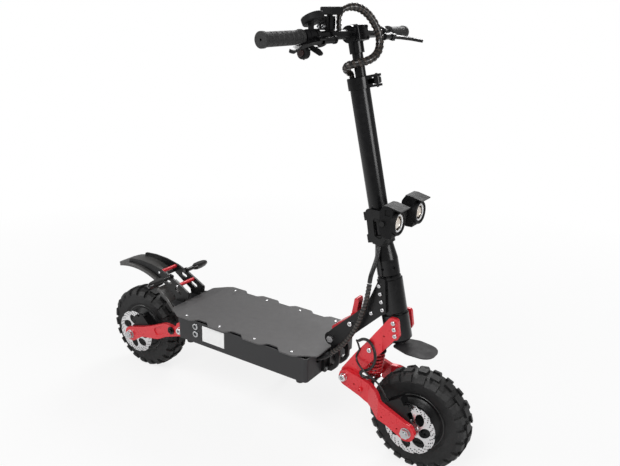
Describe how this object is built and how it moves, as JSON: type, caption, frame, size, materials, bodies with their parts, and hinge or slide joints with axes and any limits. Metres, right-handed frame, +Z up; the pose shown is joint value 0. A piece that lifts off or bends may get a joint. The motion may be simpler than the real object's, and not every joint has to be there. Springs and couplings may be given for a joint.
{
  "type": "kick scooter",
  "caption": "Folding electric kick scooter with a flat deck, knobbly tyres, leading-link front suspension, sprung rear swingarm, telescopic mast and headlamps.",
  "frame": {"origin": "centre of the bounding box, on the ground under the wheels", "axes": "+X forward, the way it rides, +Y to the rider's left, +Z up"},
  "size_m": [1.3006, 0.6754, 1.2037],
  "materials": {
    "deck_shell": "satin black powder coat",
    "deck_lid": "fine textured grey powder coat",
    "hinge_base": "satin black powder coat",
    "neck_plates": "satin black powder coat",
    "head_tube": "satin black powder coat",
    "fender_brackets": "satin black powder coat",
    "fender_spacers": "red anodised",
    "fold_lever": "red anodised",
    "fork_crown": "satin black powder coat",
    "crown_arms": "red anodised",
    "front_arms": "red anodised",
    "rear_arms": "red anodised",
    "stem_tube": "satin black anodised",
    "clamp_lever": "satin black",
    "lamp_bracket": "satin black",
    "front_spring": "red powder coat",
    "rear_springs": "red powder coat",
    "rear_brace": "satin black",
    "mast_tube": "black anodised",
    "handlebar_stem": "satin black anodised",
    "handlebar": "matt black",
    "kickstand_leg": "satin black",
    "front_hub_motor": "satin black cast",
    "rear_hub_motor": "satin black cast",
    "front_caliper": "satin black",
    "rear_caliper": "satin black",
    "front_shock_body": "satin black",
    "deck_fasteners": "bright socket screws",
    "neck_bolts": "bright socket screws",
    "arm_bolts": "bright socket screws",
    "front_axle": "zinc plated",
    "rear_axle": "zinc plated",
    "front_rotor": "ground stainless",
    "rear_rotor": "ground stainless",
    "headset_bearings": "ground steel",
    "front_shock_rod": "hard chrome",
    "deck_feet": "moulded rubber",
    "grips": "ribbed rubber",
    "front_tyre": "knobbly tread",
    "rear_tyre": "knobbly tread",
    "battery_pack": "shrink wrap",
    "rear_fender": "satin moulded",
    "front_fender": "satin moulded",
    "indicators": "smoked",
    "neck_harness": "woven sleeve",
    "mast_harness": "spiral wrap",
    "deck_harness": "woven sleeve",
    "front_cables": "smooth sheath",
    "front_arm_cables": "smooth sheath",
    "switch_pod": "satin moulded",
    "throttle_lever": "satin moulded",
    "horn_button": "gloss button",
    "display": "glossy front",
    "headlamp_left": "black housing, bright bowl",
    "headlamp_right": "black housing, bright bowl",
    "motor_controllers": "cast",
    "charge_sockets": "plated",
    "brake_perches": "anodised",
    "brake_lever_left": "anodised",
    "brake_lever_right": "anodised"
  },
  "bodies": {
    "deck": {"deck_shell": "deck_shell", "deck_lid": "deck_lid", "deck_fasteners": "deck_fasteners", "battery_pack": "battery_pack", "motor_controllers": "motor_controllers", "charge_sockets": "charge_sockets", "deck_feet": "deck_feet", "hinge_base": "hinge_base", "fender_brackets": "fender_brackets", "fender_spacers": "fender_spacers", "rear_fender": "rear_fender", "indicators": "indicators", "deck_harness": "deck_harness", "rear_springs": "rear_springs"},
    "kickstand": {"kickstand_leg": "kickstand_leg"},
    "rear_swingarm": {"rear_arms": "rear_arms", "rear_brace": "rear_brace", "rear_axle": "rear_axle", "rear_caliper": "rear_caliper"},
    "rear_wheel": {"rear_tyre": "rear_tyre", "rear_hub_motor": "rear_hub_motor", "rear_rotor": "rear_rotor"},
    "neck": {"neck_plates": "neck_plates", "head_tube": "head_tube", "neck_bolts": "neck_bolts", "headset_bearings": "headset_bearings", "neck_harness": "neck_harness"},
    "fold_latch": {"fold_lever": "fold_lever"},
    "steerer": {"fork_crown": "fork_crown", "crown_arms": "crown_arms", "arm_bolts": "arm_bolts", "front_fender": "front_fender", "stem_tube": "stem_tube", "lamp_bracket": "lamp_bracket", "front_cables": "front_cables"},
    "lamp_right": {"headlamp_right": "headlamp_right"},
    "lamp_left": {"headlamp_left": "headlamp_left"},
    "front_swingarm": {"front_arms": "front_arms", "front_axle": "front_axle", "front_caliper": "front_caliper", "front_arm_cables": "front_arm_cables"},
    "front_wheel": {"front_tyre": "front_tyre", "front_hub_motor": "front_hub_motor", "front_rotor": "front_rotor"},
    "shock_upper": {"front_shock_body": "front_shock_body", "front_spring": "front_spring"},
    "shock_lower": {"front_shock_rod": "front_shock_rod"},
    "mast": {"mast_tube": "mast_tube", "handlebar_stem": "handlebar_stem", "handlebar": "handlebar", "grips": "grips", "display": "display", "switch_pod": "switch_pod", "brake_perches": "brake_perches", "mast_harness": "mast_harness"},
    "brake_right": {"brake_lever_right": "brake_lever_right"},
    "brake_left": {"brake_lever_left": "brake_lever_left"},
    "throttle": {"throttle_lever": "throttle_lever"},
    "horn": {"horn_button": "horn_button"},
    "clamp": {"clamp_lever": "clamp_lever"}
  },
  "joints": [
    {"name": "kickstand_fold", "type": "hinge", "parent": "deck", "child": "kickstand", "pos_m": [-0.07, 0.112, 0.2], "axis": [0.016, 0.9207, 0.3899], "range_deg": [0, 84]},
    {"name": "rear_suspension", "type": "hinge", "parent": "deck", "child": "rear_swingarm", "pos_m": [-0.277, 0, 0.217], "axis": [0, 1, 0], "range_deg": [-3, 9], "stiffness_Nm_per_rad": 900, "springref_deg": -2.21, "deforming": ["rear_springs"]},
    {"name": "rear_wheel_spin", "type": "hinge", "parent": "rear_swingarm", "child": "rear_wheel", "pos_m": [-0.51, 0, 0.14], "axis": [0, 1, 0], "continuous": true},
    {"name": "stem_fold", "type": "hinge", "parent": "deck", "child": "neck", "pos_m": [0.246, 0, 0.316], "axis": [0, -1, 0], "range_deg": [0, 79]},
    {"name": "fold_lever_pull", "type": "hinge", "parent": "neck", "child": "fold_latch", "pos_m": [0.3066, 0, 0.3775], "axis": [0, 1, 0], "range_deg": [0, 20], "stiffness_Nm_per_rad": 2, "springref_deg": -20.05},
    {"name": "steering", "type": "hinge", "parent": "neck", "child": "steerer", "pos_m": [0.4175, 0, 0.43], "axis": [-0.2149, 0, 0.9766], "range_deg": [-38, 38]},
    {"name": "headlamp_right_tilt", "type": "hinge", "parent": "steerer", "child": "lamp_right", "pos_m": [0.414, -0.06, 0.692], "axis": [0, 1, 0], "range_deg": [-15, 15]},
    {"name": "headlamp_left_tilt", "type": "hinge", "parent": "steerer", "child": "lamp_left", "pos_m": [0.414, 0.06, 0.692], "axis": [0, 1, 0], "range_deg": [-15, 15]},
    {"name": "front_suspension", "type": "hinge", "parent": "steerer", "child": "front_swingarm", "pos_m": [0.308, 0, 0.231], "axis": [0, -1, 0], "range_deg": [-4, 9], "stiffness_Nm_per_rad": 900, "springref_deg": -3.18},
    {"name": "shock_body_swing", "type": "hinge", "parent": "steerer", "child": "shock_upper", "pos_m": [0.378, 0, 0.327], "axis": [0, -1, 0], "range_deg": [-2, 2], "deforming": ["front_spring"]},
    {"name": "shock_rod_swing", "type": "hinge", "parent": "front_swingarm", "child": "shock_lower", "pos_m": [0.36, 0, 0.208], "axis": [0, -1, 0], "range_deg": [-9, 9]},
    {"name": "front_wheel_spin", "type": "hinge", "parent": "front_swingarm", "child": "front_wheel", "pos_m": [0.51, 0, 0.14], "axis": [0, 1, 0], "continuous": true},
    {"name": "mast_slide", "type": "slide", "parent": "steerer", "child": "mast", "axis": [-0.2149, 0, 0.9766], "range_m": [0, 0.05]},
    {"name": "clamp_lever_open", "type": "hinge", "parent": "steerer", "child": "clamp", "pos_m": [0.33901, 0, 1.02401], "axis": [0.2149, 0, -0.9766], "range_deg": [0, 100]},
    {"name": "brake_lever_right_pull", "type": "hinge", "parent": "mast", "child": "brake_right", "pos_m": [0.28369, -0.17723, 1.11989], "axis": [0.3086, -0.0503, 0.9499], "range_deg": [0, 14], "stiffness_Nm_per_rad": 1.5, "springref_deg": -8.59},
    {"name": "brake_lever_left_pull", "type": "hinge", "parent": "mast", "child": "brake_left", "pos_m": [0.28369, 0.17723, 1.11989], "axis": [-0.3086, -0.0503, -0.9499], "range_deg": [0, 14], "stiffness_Nm_per_rad": 1.5, "springref_deg": -8.59},
    {"name": "throttle_pull", "type": "hinge", "parent": "mast", "child": "throttle", "pos_m": [0.25713, -0.18347, 1.12819], "axis": [0.1168, 0.993, 0.0146], "range_deg": [0, 30], "stiffness_Nm_per_rad": 0.3, "springref_deg": -17.19},
    {"name": "horn_press", "type": "slide", "parent": "mast", "child": "horn", "axis": [0.1168, 0.993, 0.0146], "range_m": [0, 0.0025], "stiffness_N_per_m": 300, "springref_m": -0.0015}
  ],
  "couplings": [
    {"joint": "shock_body_swing", "follows": "front_suspension", "ratio": 0.107},
    {"joint": "shock_rod_swing", "follows": "front_suspension", "ratio": -0.893}
  ]
}
